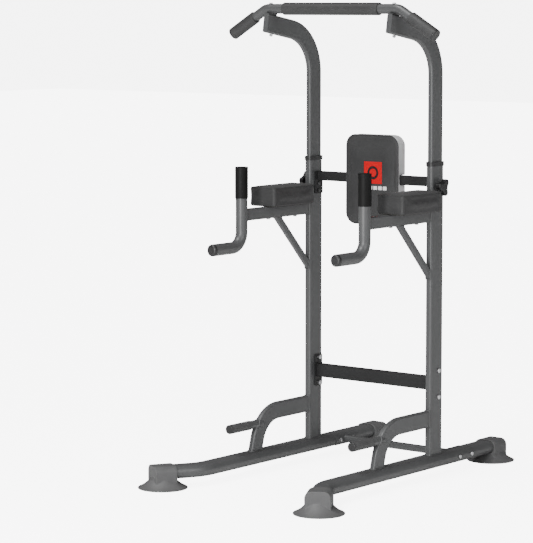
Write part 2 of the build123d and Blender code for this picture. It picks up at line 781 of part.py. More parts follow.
with BuildPart() as neck_caps:
    for side, sign in sides:
        cap_plane = Plane(origin=neck_end + Vector(post_x(sign), 0, 0), x_dir=(1, 0, 0), z_dir=neck_way)
        with BuildSketch(cap_plane):
            RectangleRounded(upper_width, upper_depth, upper_radius)
        extrude(amount=neck_cap_thickness)
        with BuildSketch(cap_plane):
            RectangleRounded(upper_width - 2 * upper_wall, upper_depth - 2 * upper_wall, upper_radius - upper_wall)
        extrude(amount=-neck_cap_thickness)
neck_caps.part.label = "neck_caps"
export_step(neck_caps.part, "parts/neck_caps.step")

# Plastic shoes on the lower ends of the upper tubes, which guide them inside the posts.
with BuildPart() as guide_shoes:
    for side, sign in sides:
        with BuildSketch(Plane.XY.offset(upper_bottom_z)):
            with Locations((post_x(sign), post_y)):
                RectangleRounded(upper_width - 2 * upper_wall, upper_depth - 2 * upper_wall, upper_radius - upper_wall)
        extrude(amount=shoe_height)
        with BuildSketch(Plane.XY.offset(upper_bottom_z - shoe_flange)):
            with Locations((post_x(sign), post_y)):
                RectangleRounded(
                    upper_width + 2 * (slide_gap - fit_gap),
                    upper_depth + 2 * (slide_gap - fit_gap),
                    upper_radius,
                )
        extrude(amount=shoe_flange)
guide_shoes.part.label = "guide_shoes"
export_step(guide_shoes.part, "parts/guide_shoes.step")

# Pull-up bar: level in the middle, with a wing sloping down at each end. It lies on the saddles.
bar_z = neck_centre_at_bar + neck_half_rise + bar_saddle_height + bar_diameter / 2
bar_bend_x = post_spacing / 2 + bar_bend_margin
drop = math.radians(bar_drop_angle)
wing_tip = Vector(bar_bend_x + bar_wing_length * math.cos(drop), bar_y, bar_z - bar_wing_length * math.sin(drop))


def bar_solid(is_hollow):
    """Pull-up bar from wing tip to wing tip, hollow or filled."""
    with BuildPart() as bar:
        with BuildLine():
            path = FilletPolyline(
                (-wing_tip.X, bar_y, wing_tip.Z),
                (-bar_bend_x, bar_y, bar_z),
                (bar_bend_x, bar_y, bar_z),
                (wing_tip.X, bar_y, wing_tip.Z),
                radius=bar_bend_radius,
            )
        with BuildSketch(Plane(origin=path @ 0, x_dir=(0, 1, 0), z_dir=path % 0)):
            Circle(bar_diameter / 2)
            if is_hollow:
                Circle(bar_diameter / 2 - bar_wall, mode=Mode.SUBTRACT)
        sweep()
    return bar.part


with BuildPart() as pull_up_bar:
    add(bar_solid(is_hollow=True))
    with BuildSketch(Plane.XY.offset(bar_z)):
        with Locations(*[(post_x(sign), bar_y) for side, sign in sides]):
            Circle(m8[0] / 2 + hole_clearance / 2)
    extrude(amount=bar_diameter, both=True, mode=Mode.SUBTRACT)
pull_up_bar.part.label = "pull_up_bar"
export_step(pull_up_bar.part, "parts/pull_up_bar.step")

with BuildPart() as centre_grip:
    with BuildSketch(Plane.YZ.offset(-centre_grip_half)):
        with Locations((bar_y, bar_z)):
            Circle(bar_diameter / 2 + foam_thickness)
    extrude(amount=2 * centre_grip_half)
    fillet(centre_grip.edges(), foam_thickness * 0.5)
    with BuildSketch(Plane.YZ.offset(-centre_grip_half)):
        with Locations((bar_y, bar_z)):
            Circle(bar_diameter / 2)
    extrude(amount=2 * centre_grip_half, mode=Mode.SUBTRACT)
centre_grip.part.label = "centre_grip"
export_step(centre_grip.part, "parts/centre_grip.step")

for side, sign in sides:
    outward = Vector(sign * math.cos(drop), 0, -math.sin(drop))
    tip = Vector(sign * wing_tip.X, bar_y, wing_tip.Z)
    with BuildPart() as wing_grip:
        with BuildSketch(Plane(origin=tip - outward * wing_grip_length, x_dir=(0, 1, 0), z_dir=outward)):
            Circle(bar_diameter / 2 + foam_thickness)
        extrude(amount=wing_grip_length)
        fillet(wing_grip.edges(), foam_thickness * 0.5)
        with BuildSketch(Plane(origin=tip - outward * wing_grip_length, x_dir=(0, 1, 0), z_dir=outward)):
            Circle(bar_diameter / 2)
        extrude(amount=wing_grip_length, mode=Mode.SUBTRACT)
    wing_grip.part.label = f"{side}_wing_grip"
    export_step(wing_grip.part, f"parts/{side}_wing_grip.step")


def bar_cap(sign):
    """End cap of the pull-up bar: a disc over the grip's end with a shank inside the tube."""
    outward = Vector(sign * math.cos(drop), 0, -math.sin(drop))
    cap_plane = Plane(origin=(sign * wing_tip.X, bar_y, wing_tip.Z), x_dir=(0, 1, 0), z_dir=outward)
    with BuildPart() as cap:
        with BuildSketch(cap_plane):
            Circle(bar_diameter / 2 + foam_thickness)
        extrude(amount=bar_cap_thickness)
        fillet(cap.edges().sort_by(Axis(cap_plane.origin, outward))[-1], bar_cap_thickness * 0.6)
        with BuildSketch(cap_plane):
            Circle(bar_diameter / 2 - bar_wall)
        extrude(amount=-3 * bar_cap_thickness)
    return cap.part


with BuildPart() as bar_end_caps:
    for side, sign in sides:
        add(bar_cap(sign))
bar_end_caps.part.label = "bar_end_caps"
export_step(bar_end_caps.part, "parts/bar_end_caps.step")

# Saddles that carry the bar on the necks, and the bolts through bar, saddle and neck.
saddle_top_z = bar_z - bar_diameter / 2 + bar_saddle_wrap
slope = math.radians(neck_slope)


def bar_saddle(sign):
    """Block between the bar and the sloping top of a neck, hollowed to the bar's shape."""
    with BuildPart() as block:
        with BuildSketch(Plane.XY.offset(saddle_top_z)):
            with Locations((post_x(sign), bar_y)):
                Rectangle(upper_width - 2, bar_saddle_span)
                Circle(m8[0] / 2 + hole_clearance / 2, mode=Mode.SUBTRACT)
        extrude(amount=-neck_half_rise)
        neck_top = Plane(
            origin=(0, bar_y, neck_centre_at_bar + neck_half_rise),
            x_dir=(1, 0, 0),
            z_dir=(0, math.sin(slope), math.cos(slope)),
        )
        split(bisect_by=neck_top, keep=Keep.TOP)
        add(bar_solid(is_hollow=False), mode=Mode.SUBTRACT)
    return block.part


with BuildPart() as bar_saddles:
    for side, sign in sides:
        add(bar_saddle(sign))
bar_saddles.part.label = "bar_saddles"
export_step(bar_saddles.part, "parts/bar_saddles.step")

bar_top_z = bar_z + bar_diameter / 2
neck_low_z = neck_centre_at_bar - neck_half_rise - m8[1] / 2 * math.tan(math.radians(neck_slope))
bar_nut_height = 7
with BuildPart() as bar_bolts:
    for side, sign in sides:
        grip = bar_top_z - neck_low_z + bar_nut_height + 3
        add(bolt((post_x(sign), bar_y, bar_top_z), (0, 0, 1), grip, m8))
bar_bolts.part.label = "bar_bolts"
export_step(bar_bolts.part, "parts/bar_bolts.step")

with BuildPart() as bar_nuts:
    for side, sign in sides:
        add(nut((post_x(sign), bar_y, neck_low_z), (0, 0, -1), m8, bar_nut_height))
bar_nuts.part.label = "bar_nuts"
export_step(bar_nuts.part, "parts/bar_nuts.step")


def knob_outline(centre):
    """Three round lobes joined by hollow arcs, drawn in the open line."""
    lobe_reach = knob_radius - knob_lobe_radius
    hollow_reach = lobe_reach / 2 + math.sqrt(
        (knob_lobe_radius + knob_hollow_radius) ** 2 - 3 * lobe_reach**2 / 4
    )
    for turn in range(3):
        lobe_angle = knob_lobe_angle + 120 * turn
        lobe = centre + Vector(lobe_reach, 0).rotate(Axis.Z, lobe_angle)
        before = centre + Vector(hollow_reach, 0).rotate(Axis.Z, lobe_angle - 60)
        after = centre + Vector(hollow_reach, 0).rotate(Axis.Z, lobe_angle + 60)
        next_lobe = centre + Vector(lobe_reach, 0).rotate(Axis.Z, lobe_angle + 120)
        lobe_start = lobe + (before - lobe).normalized() * knob_lobe_radius
        lobe_tip = centre + Vector(knob_radius, 0).rotate(Axis.Z, lobe_angle)
        lobe_end = lobe + (after - lobe).normalized() * knob_lobe_radius
        waist = centre + Vector(hollow_reach - knob_hollow_radius, 0).rotate(Axis.Z, lobe_angle + 60)
        next_start = next_lobe + (after - next_lobe).normalized() * knob_lobe_radius
        ThreePointArc(lobe_start, lobe_tip, lobe_end)
        ThreePointArc(lobe_end, waist, next_start)


# Clamp knobs: a nut welded to the post, and a stud whose tip presses on the upper tube.
outer_half = post_spacing / 2 + post_width / 2
with BuildPart() as clamp_nuts:
    for side, sign in sides:
        with BuildSketch(across(sign * outer_half, sign)):
            with Locations((post_y, sign * knob_z)):
                RegularPolygon(nut_across_flats / 2 / math.cos(math.pi / 6), 6)
                Circle(stud_diameter / 2 + fit_gap, mode=Mode.SUBTRACT)
        extrude(amount=clamp_nut_thickness)
clamp_nuts.part.label = "clamp_nuts"
export_step(clamp_nuts.part, "parts/clamp_nuts.step")

stud_tip = post_spacing / 2 + upper_width / 2 + stud_tip_gap
knob_base = outer_half + knob_standoff
stud_end = knob_base + knob_thickness * 0.7
for side, sign in sides:
    with BuildPart() as knob:
        with BuildSketch(across(sign * knob_base, sign)):
            with BuildLine():
                knob_outline(Vector(post_y, sign * knob_z))
            make_face()
        extrude(amount=knob_thickness)
        fillet(knob.faces().sort_by(Axis((0, 0, 0), (sign, 0, 0)))[-1].edges(), 4)
        with BuildSketch(across(sign * knob_base, sign)):
            with Locations((post_y, sign * knob_z)):
                Circle(stud_diameter / 2)
        extrude(amount=knob_thickness * 0.7, mode=Mode.SUBTRACT)
    knob.part.label = f"{side}_knob"
    export_step(knob.part, f"parts/{side}_knob.step")

    with BuildPart() as stud:
        with BuildSketch(across(sign * stud_tip, sign)):
            with Locations((post_y, sign * knob_z)):
                Circle(stud_diameter / 2)
        extrude(amount=stud_end - stud_tip)
    stud.part.label = f"{side}_knob_stud"
    export_step(stud.part, f"parts/{side}_knob_stud.step")
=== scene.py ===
import json
import math

import bpy
import numpy as np
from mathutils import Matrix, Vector


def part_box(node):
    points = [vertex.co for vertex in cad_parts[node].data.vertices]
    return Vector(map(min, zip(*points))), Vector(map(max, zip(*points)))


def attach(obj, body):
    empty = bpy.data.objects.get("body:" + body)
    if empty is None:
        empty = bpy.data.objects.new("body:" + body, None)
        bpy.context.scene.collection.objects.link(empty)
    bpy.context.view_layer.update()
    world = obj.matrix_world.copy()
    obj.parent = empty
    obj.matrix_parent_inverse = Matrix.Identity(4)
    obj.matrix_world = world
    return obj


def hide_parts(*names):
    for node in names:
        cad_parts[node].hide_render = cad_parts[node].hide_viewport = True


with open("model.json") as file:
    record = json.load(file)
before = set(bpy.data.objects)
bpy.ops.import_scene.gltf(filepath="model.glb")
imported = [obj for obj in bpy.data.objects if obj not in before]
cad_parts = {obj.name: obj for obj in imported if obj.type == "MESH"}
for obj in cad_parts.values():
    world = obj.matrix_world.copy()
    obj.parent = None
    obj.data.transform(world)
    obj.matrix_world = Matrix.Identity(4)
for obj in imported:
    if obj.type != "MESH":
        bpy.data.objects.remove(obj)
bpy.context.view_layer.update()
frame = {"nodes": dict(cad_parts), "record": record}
nodes = frame["nodes"]
print("frame loaded:", len(nodes), "parts")

# camera, light and backdrop
shot = {"place": (5.4167, -7.2534, 1.8017), "yaw": 38.530, "pitch": 5.103, "lens": 158.05, "shiftY": -0.10}


def addCamera(s):
    data = bpy.data.cameras.new("shotCamera")
    data.lens = s["lens"]
    data.sensor_width = 36
    data.shift_y = s["shiftY"]
    camera = bpy.data.objects.new("shotCamera", data)
    camera.location = s["place"]
    camera.rotation_euler = (math.radians(90 - s["pitch"]), 0, math.radians(s["yaw"]))
    bpy.context.scene.collection.objects.link(camera)
    bpy.context.scene.camera = camera


def addSoftLight(name, place, aim, size, power):
    data = bpy.data.lights.new(name, "AREA")
    data.shape = "RECTANGLE"
    data.size, data.size_y = size
    data.energy = power
    light = bpy.data.objects.new(name, data)
    light.location = place
    light.rotation_euler = (Vector(aim) - Vector(place)).to_track_quat("-Z", "Y").to_euler()
    bpy.context.scene.collection.objects.link(light)


addCamera(shot)
studio = {"floor": (0.88, 0.88, 0.88), "backdrop": 8.0, "skyFill": 0.15, "floorGlow": 6.4}


def addBackdrop(s):
    # bright white behind the object, a dimmer fill for everything the sky lights
    world = bpy.data.worlds.new("studioWorld")
    bpy.context.scene.world = world
    world.use_nodes = True
    tree = world.node_tree
    fill = tree.nodes["Background"]
    fill.inputs["Strength"].default_value = s["skyFill"]
    fill.inputs["Color"].default_value = (1, 1, 1, 1)
    seen = tree.nodes.new("ShaderNodeBackground")
    seen.inputs["Strength"].default_value = s["backdrop"]
    rays = tree.nodes.new("ShaderNodeLightPath")
    mix = tree.nodes.new("ShaderNodeMixShader")
    tree.links.new(rays.outputs["Is Camera Ray"], mix.inputs[0])
    tree.links.new(fill.outputs[0], mix.inputs[1])
    tree.links.new(seen.outputs[0], mix.inputs[2])
    tree.links.new(mix.outputs[0], tree.nodes["World Output"].inputs["Surface"])


addBackdrop(studio)
lamps = {
    "topSoft": {"from": (-0.8, -1.6, 4.0), "spread": 30, "strength": 3.2},
    "sideSoft": {"from": (4.0, -0.8, 1.6), "spread": 30, "strength": 1.3},
}
strips = {
    "frontStrip": {"place": (1.3, -5.0, 2.0), "size": (0.7, 3.4), "power": 330},
}


def addSun(name, s):
    data = bpy.data.lights.new(name, "SUN")
    data.energy = s["strength"]
    data.angle = math.radians(s["spread"])
    light = bpy.data.objects.new(name, data)
    light.rotation_euler = (-Vector(s["from"])).to_track_quat("-Z", "Y").to_euler()
    bpy.context.scene.collection.objects.link(light)


for lampName, lamp in lamps.items():
    addSun(lampName, lamp)
for lampName, lamp in strips.items():
    addSoftLight(lampName, lamp["place"], (0, 0, 0.9), lamp["size"], lamp["power"])


# shader effects
def newGroup(name, inputs, outputs):
    tree = bpy.data.node_groups.new(name, "ShaderNodeTree")
    for label, kind, value in inputs:
        socket = tree.interface.new_socket(name=label, in_out="INPUT", socket_type=kind)
        socket.default_value = value
    for label, kind in outputs:
        tree.interface.new_socket(name=label, in_out="OUTPUT", socket_type=kind)
    return tree, tree.nodes.new("NodeGroupInput"), tree.nodes.new("NodeGroupOutput")


def addNoise(tree, vector, scale, detail=2.0, rough=0.5):
    node = tree.nodes.new("ShaderNodeTexNoise")
    node.inputs["Detail"].default_value = detail
    node.inputs["Roughness"].default_value = rough
    tree.links.new(vector, node.inputs["Vector"])
    if isinstance(scale, (int, float)):
        node.inputs["Scale"].default_value = scale
    else:
        tree.links.new(scale, node.inputs["Scale"])
    return node.outputs["Fac"]


def addMath(tree, operation, a, b=0.5, clamp=False):
    node = tree.nodes.new("ShaderNodeMath")
    node.operation = operation
    node.use_clamp = clamp
    for slot, value in ((0, a), (1, b)):
        if isinstance(value, (int, float)):
            node.inputs[slot].default_value = value
        else:
            tree.links.new(value, node.inputs[slot])
    return node.outputs[0]


def addRange(tree, value, low, high, toLow, toHigh):
    node = tree.nodes.new("ShaderNodeMapRange")
    tree.links.new(value, node.inputs["Value"])
    for label, number in (("From Min", low), ("From Max", high), ("To Min", toLow), ("To Max", toHigh)):
        node.inputs[label].default_value = number
    return node.outputs["Result"]


def addMix(tree, factor, a, b):
    node = tree.nodes.new("ShaderNodeMix")
    node.data_type = "RGBA"
    tree.links.new(factor, node.inputs["Factor"])
    for slot, value in ((6, a), (7, b)):
        if isinstance(value, tuple):
            node.inputs[slot].default_value = (*value, 1)
        else:
            tree.links.new(value, node.inputs[slot])
    return node.outputs[2]


def addScaledColor(tree, color, factor):
    node = tree.nodes.new("ShaderNodeVectorMath")
    node.operation = "SCALE"
    tree.links.new(color, node.inputs[0])
    tree.links.new(factor, node.inputs["Scale"])
    return node.outputs[0]


def closeGroup(tree, gout, color, roughness, height):
    for label, socket in (("Color", color), ("Roughness", roughness), ("Height", height)):
        tree.links.new(socket, gout.inputs[label])
    return tree


def coatGroup():
    # powder coat: fine orange peel, sparse specks, slow drift of tone and gloss
    tree, gin, gout = newGroup(
        "powderCoatGrain",
        [("Color", "NodeSocketColor", (0.1, 0.1, 0.1, 1)), ("Grain", "NodeSocketFloat", 1100.0)],
        [("Color", "NodeSocketColor"), ("Roughness", "NodeSocketFloat"), ("Height", "NodeSocketFloat")],
    )
    place = tree.nodes.new("ShaderNodeTexCoord").outputs["Object"]
    peel = addNoise(tree, place, gin.outputs["Grain"], 2)
    specks = addRange(tree, addNoise(tree, place, 2600.0, 1), 0.62, 0.72, 0.0, 1.0)
    drift = addNoise(tree, place, 5.0, 3)
    tone = addRange(tree, drift, 0.3, 0.7, 0.93, 1.07)
    toned = addScaledColor(tree, gin.outputs["Color"], tone)
    bright = addScaledColor(tree, gin.outputs["Color"], addRange(tree, drift, 0, 1, 1.35, 1.5))
    color = addMix(tree, addMath(tree, "MULTIPLY", specks, 0.5), toned, bright)
    gloss = addMath(tree, "MULTIPLY", drift, 0.10)
    rough = addMath(tree, "ADD", gloss, addRange(tree, peel, 0.3, 0.7, 0.33, 0.41))
    return closeGroup(tree, gout, color, rough, peel)


def vinylGroup():
    # vinyl: pebbled leather print, rubbed tone
    tree, gin, gout = newGroup(
        "vinylPebble",
        [("Color", "NodeSocketColor", (0.05, 0.05, 0.05, 1)), ("Pebble", "NodeSocketFloat", 620.0)],
        [("Color", "NodeSocketColor"), ("Roughness", "NodeSocketFloat"), ("Height", "NodeSocketFloat")],
    )
    place = tree.nodes.new("ShaderNodeTexCoord").outputs["Object"]
    cells = tree.nodes.new("ShaderNodeTexVoronoi")
    cells.feature = "SMOOTH_F1"
    tree.links.new(place, cells.inputs["Vector"])
    tree.links.new(gin.outputs["Pebble"], cells.inputs["Scale"])
    wide = addNoise(tree, place, 9.0, 4)
    pores = addNoise(tree, place, 1500.0, 2)
    tone = addRange(tree, wide, 0.3, 0.7, 0.86, 1.14)
    dimple = addRange(tree, cells.outputs["Distance"], 0.2, 0.75, 1.08, 0.82)
    both = addMath(tree, "MULTIPLY", tone, dimple)
    color = addScaledColor(tree, gin.outputs["Color"], both)
    rubbed = addRange(tree, wide, 0.3, 0.7, 0.42, 0.52)
    rough = addMath(tree, "ADD", rubbed, addRange(tree, pores, 0.3, 0.7, 0.0, 0.08))
    height = addMath(tree, "SUBTRACT", addMath(tree, "MULTIPLY", pores, 0.25), cells.outputs["Distance"])
    return closeGroup(tree, gout, color, rough, height)


def rubberGroup():
    # rubber and foam: pores, faint dust, soft mottling
    tree, gin, gout = newGroup(
        "rubberPores",
        [
            ("Color", "NodeSocketColor", (0.03, 0.03, 0.03, 1)),
            ("Pores", "NodeSocketFloat", 900.0),
            ("Dust", "NodeSocketFloat", 0.15),
        ],
        [("Color", "NodeSocketColor"), ("Roughness", "NodeSocketFloat"), ("Height", "NodeSocketFloat")],
    )
    place = tree.nodes.new("ShaderNodeTexCoord").outputs["Object"]
    pores = addNoise(tree, place, gin.outputs["Pores"], 3, 0.6)
    mottle = addNoise(tree, place, 28.0, 3)
    dusty = addMath(tree, "MULTIPLY", addRange(tree, mottle, 0.45, 0.75, 0.0, 1.0), gin.outputs["Dust"])
    tone = addRange(tree, pores, 0.3, 0.7, 0.85, 1.15)
    toned = addScaledColor(tree, gin.outputs["Color"], tone)
    color = addMix(tree, dusty, toned, (0.16, 0.16, 0.155))
    return closeGroup(tree, gout, color, addRange(tree, mottle, 0.3, 0.7, 0.5, 0.66), pores)


def plasticGroup():
    # moulded plastic: spark-eroded texture and slight handling marks
    tree, gin, gout = newGroup(
        "mouldedPlastic",
        [("Color", "NodeSocketColor", (0.03, 0.03, 0.03, 1)), ("Texture", "NodeSocketFloat", 1600.0)],
        [("Color", "NodeSocketColor"), ("Roughness", "NodeSocketFloat"), ("Height", "NodeSocketFloat")],
    )
    place = tree.nodes.new("ShaderNodeTexCoord").outputs["Object"]
    fine = addNoise(tree, place, gin.outputs["Texture"], 2)
    marks = addNoise(tree, place, 60.0, 5, 0.7)
    color = addScaledColor(tree, gin.outputs["Color"], addRange(tree, marks, 0.3, 0.7, 0.9, 1.15))
    return closeGroup(tree, gout, color, addRange(tree, marks, 0.35, 0.7, 0.34, 0.5), fine)


def zincGroup():
    # zinc plate: cloudy spangle, fine turning marks
    tree, gin, gout = newGroup(
        "zincPlate",
        [("Color", "NodeSocketColor", (0.6, 0.6, 0.6, 1))],
        [("Color", "NodeSocketColor"), ("Roughness", "NodeSocketFloat"), ("Height", "NodeSocketFloat")],
    )
    place = tree.nodes.new("ShaderNodeTexCoord").outputs["Object"]
    clouds = addNoise(tree, place, 240.0, 4, 0.6)
    marks = addNoise(tree, place, 2400.0, 1)
    color = addScaledColor(tree, gin.outputs["Color"], addRange(tree, clouds, 0.3, 0.7, 0.75, 1.1))
    return closeGroup(tree, gout, color, addRange(tree, clouds, 0.3, 0.7, 0.24, 0.42), marks)


def woodGroup():
    # plywood: long grain and thin plies
    tree, gin, gout = newGroup(
        "plywoodGrain",
        [("Color", "NodeSocketColor", (0.4, 0.3, 0.2, 1))],
        [("Color", "NodeSocketColor"), ("Roughness", "NodeSocketFloat"), ("Height", "NodeSocketFloat")],
    )
    place = tree.nodes.new("ShaderNodeTexCoord").outputs["Object"]
    turn = tree.nodes.new("ShaderNodeMapping")
    turn.inputs["Scale"].default_value = (60, 6, 400)
    tree.links.new(place, turn.inputs["Vector"])
    grain = addNoise(tree, turn.outputs["Vector"], 3.0, 4, 0.6)
    color = addScaledColor(tree, gin.outputs["Color"], addRange(tree, grain, 0.3, 0.7, 0.7, 1.15))
    return closeGroup(tree, gout, color, addRange(tree, grain, 0.3, 0.7, 0.6, 0.75), grain)


effects = {
    "coat": coatGroup(),
    "vinyl": vinylGroup(),
    "rubber": rubberGroup(),
    "plastic": plasticGroup(),
    "zinc": zincGroup(),
    "wood": woodGroup(),
}

finishes = {
    "frame_paint": {
        "effect": "coat",
        "color": (0.05, 0.051, 0.052),
        "Grain": 1100.0,
        "bump": 0.05,
        "specular": 0.5,
    },
    "crossbar_paint": {
        "effect": "coat",
        "color": (0.014, 0.014, 0.0145),
        "Grain": 1100.0,
        "bump": 0.05,
        "specular": 0.25,
    },
    "foot_rubber": {
        "effect": "rubber",
        "color": (0.062, 0.062, 0.063),
        "Pores": 700.0,
        "Dust": 0.12,
        "bump": 0.08,
        "specular": 0.4,
    },
    "grip_rubber": {
        "effect": "rubber",
        "color": (0.003, 0.003, 0.003),
        "Pores": 1200.0,
        "Dust": 0.01,
        "bump": 0.06,
        "specular": 0.15,
    },
    "sleeve_rubber": {
        "effect": "rubber",
        "color": (0.045, 0.045, 0.046),
        "Pores": 900.0,
        "Dust": 0.1,
        "bump": 0.06,
        "specular": 0.35,
    },
    "grip_foam": {
        "effect": "rubber",
        "color": (0.024, 0.024, 0.0245),
        "Pores": 850.0,
        "Dust": 0.05,
        "bump": 0.2,
        "specular": 0.4,
    },
    "black_plastic": {
        "effect": "plastic",
        "color": (0.014, 0.014, 0.0145),
        "Texture": 1600.0,
        "bump": 0.05,
        "specular": 0.4,
    },
    "knob_plastic": {
        "effect": "plastic",
        "color": (0.006, 0.006, 0.0063),
        "Texture": 1400.0,
        "bump": 0.05,
        "specular": 0.4,
    },
    "pad_vinyl": {
        "effect": "vinyl",
        "color": (0.025, 0.025, 0.0255),
        "Pebble": 620.0,
        "bump": 0.25,
        "sheen": 0.05,
        "specular": 0.25,
        # side: colour of the painted sheen, a lighter band that stands in for the highlight on the backrest's
        # sides
        "side": (0.55, 0.55, 0.555),
    },
    "board_wood": {
        "effect": "wood",
        "color": (0.03, 0.027, 0.024),
        "bump": 0.1,
    },
    "bolt_black": {
        "effect": "zinc",
        "color": (0.02, 0.02, 0.021),
        "bump": 0.03,
    },
    "bolt_steel": {
        "effect": "zinc",
        "color": (0.62, 0.62, 0.63),
        "bump": 0.03,
        "metallic": 1.0,
    },
}


def makeFinish(name, spec):
    mat = bpy.data.materials.new(name)
    mat.use_nodes = True
    tree = mat.node_tree
    shader = tree.nodes["Principled BSDF"]
    effect = tree.nodes.new("ShaderNodeGroup")
    effect.node_tree = effects[spec["effect"]]
    effect.inputs["Color"].default_value = (*spec["color"], 1)
    for label in ("Grain", "Pores", "Dust", "Texture", "Pebble"):
        if label in spec:
            effect.inputs[label].default_value = spec[label]
    bump = tree.nodes.new("ShaderNodeBump")
    bump.inputs["Strength"].default_value = spec["bump"]
    bump.inputs["Distance"].default_value = 0.001
    tree.links.new(effect.outputs["Height"], bump.inputs["Height"])
    color = effect.outputs["Color"]
    if "side" in spec:
        # painted sheen: a lighter grey band stands in for the highlight on the backrest's sides, only where
        # the mesh carries it
        paintedSheenBand = tree.nodes.new("ShaderNodeAttribute")
        paintedSheenBand.attribute_name = "side"
        color = addMix(tree, paintedSheenBand.outputs["Fac"], color, spec["side"])
    tree.links.new(color, shader.inputs["Base Color"])
    tree.links.new(effect.outputs["Roughness"], shader.inputs["Roughness"])
    tree.links.new(bump.outputs["Normal"], shader.inputs["Normal"])
    shader.inputs["Metallic"].default_value = spec.get("metallic", 0.0)
    shader.inputs["Specular IOR Level"].default_value = spec.get("specular", 0.5)
    shader.inputs["Sheen Weight"].default_value = spec.get("sheen", 0.0)
    mat.diffuse_color = (*spec["color"], 1)
    return mat


mats = {name: makeFinish(name, spec) for name, spec in finishes.items()}


def makeBadgeFinish():
    # plain red print with a dark ring and bar
    mat = bpy.data.materials.new("badge_print")
    mat.use_nodes = True
    tree = mat.node_tree
    shader = tree.nodes["Principled BSDF"]
    low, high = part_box("backrest_badge")
    middle = (low + high) / 2
    place = tree.nodes.new("ShaderNodeTexCoord").outputs["Object"]
    move = tree.nodes.new("ShaderNodeMapping")
    move.vector_type = "TEXTURE"
    move.inputs["Location"].default_value = (middle.x, 0, middle.z)
    tree.links.new(place, move.inputs["Vector"])
    parts = tree.nodes.new("ShaderNodeSeparateXYZ")
    tree.links.new(move.outputs["Vector"], parts.inputs[0])
    flat = tree.nodes.new("ShaderNodeCombineXYZ")
    tree.links.new(parts.outputs["X"], flat.inputs["X"])
    tree.links.new(parts.outputs["Z"], flat.inputs["Y"])
    length = tree.nodes.new("ShaderNodeVectorMath")
    length.operation = "LENGTH"
    tree.links.new(flat.outputs[0], length.inputs[0])
    offRing = addMath(tree, "ABSOLUTE", addMath(tree, "SUBTRACT", length.outputs["Value"], 0.021))
    ring = addRange(tree, offRing, 0.0045, 0.0055, 1.0, 0.0)
    wear = addNoise(tree, place, 1200.0, 3)
    red = addMix(tree, wear, (0.36, 0.001, 0.004), (0.45, 0.002, 0.006))
    patch = addMix(tree, ring, red, (0.012, 0.012, 0.012))
    below = addRange(tree, parts.outputs["Z"], low.z - middle.z - 0.005, low.z - middle.z - 0.004, 1.0, 0.0)
    tree.links.new(addMix(tree, below, patch, (0.6, 0.6, 0.6)), shader.inputs["Base Color"])
    tree.links.new(addRange(tree, wear, 0.3, 0.7, 0.4, 0.55), shader.inputs["Roughness"])
    shader.inputs["Specular IOR Level"].default_value = 0.1
    return mat


mats["badge_print"] = makeBadgeFinish()
slotOf = {part["node"]: part["material_slot"] for part in frame["record"]["subparts"]}
for name, node in nodes.items():
    node.data.materials.clear()
    node.data.materials.append(mats[slotOf[name]])
print("finishes made:", len(mats))


# mesh helpers
def addPiece(name, verts, faces, finish, body, smooth=True):
    mesh = bpy.data.meshes.new(name)
    mesh.from_pydata(np.asarray(verts).tolist(), [], np.asarray(faces).tolist())
    mesh.update()
    mesh.polygons.foreach_set("use_smooth", np.full(len(mesh.polygons), smooth))
    mesh.materials.append(mats[finish])
    piece = bpy.data.objects.new(name, mesh)
    bpy.context.scene.collection.objects.link(piece)
    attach(piece, body)
    return piece


def gridFaces(rows, columns, closeRows=False, closeColumns=True):
    r = np.arange(rows if closeRows else rows - 1)
    c = np.arange(columns if closeColumns else columns - 1)
    rr, cc = np.meshgrid(r, c, indexing="ij")
    up, right = (rr + 1) % rows, (cc + 1) % columns
    corners = [rr * columns + cc, rr * columns + right, up * columns + right, up * columns + cc]
    return np.stack(corners, -1).reshape(-1, 4)


def roundedRect(width, height, radius, count):
    # outline by arc length: a quarter arc at each corner joined by straight sides
    corners = [(1, 1, 0), (-1, 1, 90), (-1, -1, 180), (1, -1, 270)]
    turn = np.radians(np.linspace(0, 90, 13))
    parts = []
    for sx, sy, start in corners:
        a = turn + math.radians(start)
        x = sx * (width / 2 - radius) + radius * np.cos(a)
        y = sy * (height / 2 - radius) + radius * np.sin(a)
        parts.append(np.stack([x, y], 1))
    ring = np.concatenate(parts)
    ring = np.concatenate([ring, ring[:1]])
    along = np.concatenate([[0], np.cumsum(np.linalg.norm(np.diff(ring, axis=0), axis=1))])
    at = np.linspace(0, along[-1], count, endpoint=False)
    return np.stack([np.interp(at, along, ring[:, 0]), np.interp(at, along, ring[:, 1])], 1)


def tubeAlong(path, radius, sides=8, closed=True):
    # circle carried along the path: centre + radius * (cos t * normal + sin t * binormal)
    if closed:
        ahead = np.roll(path, -1, 0) - np.roll(path, 1, 0)
    else:
        ahead = np.gradient(path, axis=0)
    ahead /= np.linalg.norm(ahead, axis=1, keepdims=True)
    reference = np.tile(path.mean(0), (len(path), 1)) - path
    side = np.cross(ahead, reference)
    side /= np.linalg.norm(side, axis=1, keepdims=True) + 1e-12
    other = np.cross(side, ahead)
    t = np.linspace(0, 2 * np.pi, sides, endpoint=False)
    radius = np.broadcast_to(np.asarray(radius, float).reshape(-1, 1), (len(path), 1))
    circle = np.cos(t)[None, :, None] * side[:, None, :] + np.sin(t)[None, :, None] * other[:, None, :]
    ring = radius[:, :, None] * circle
    verts = (path[:, None, :] + ring).reshape(-1, 3)
    return verts, gridFaces(len(path), sides, closeRows=closed)


# weld beads
weld = {"radius": 0.0034, "ripple": 0.16, "pitch": 0.0035, "step": 0.0012, "lift": 0.0022}
rng = np.random.default_rng(7)


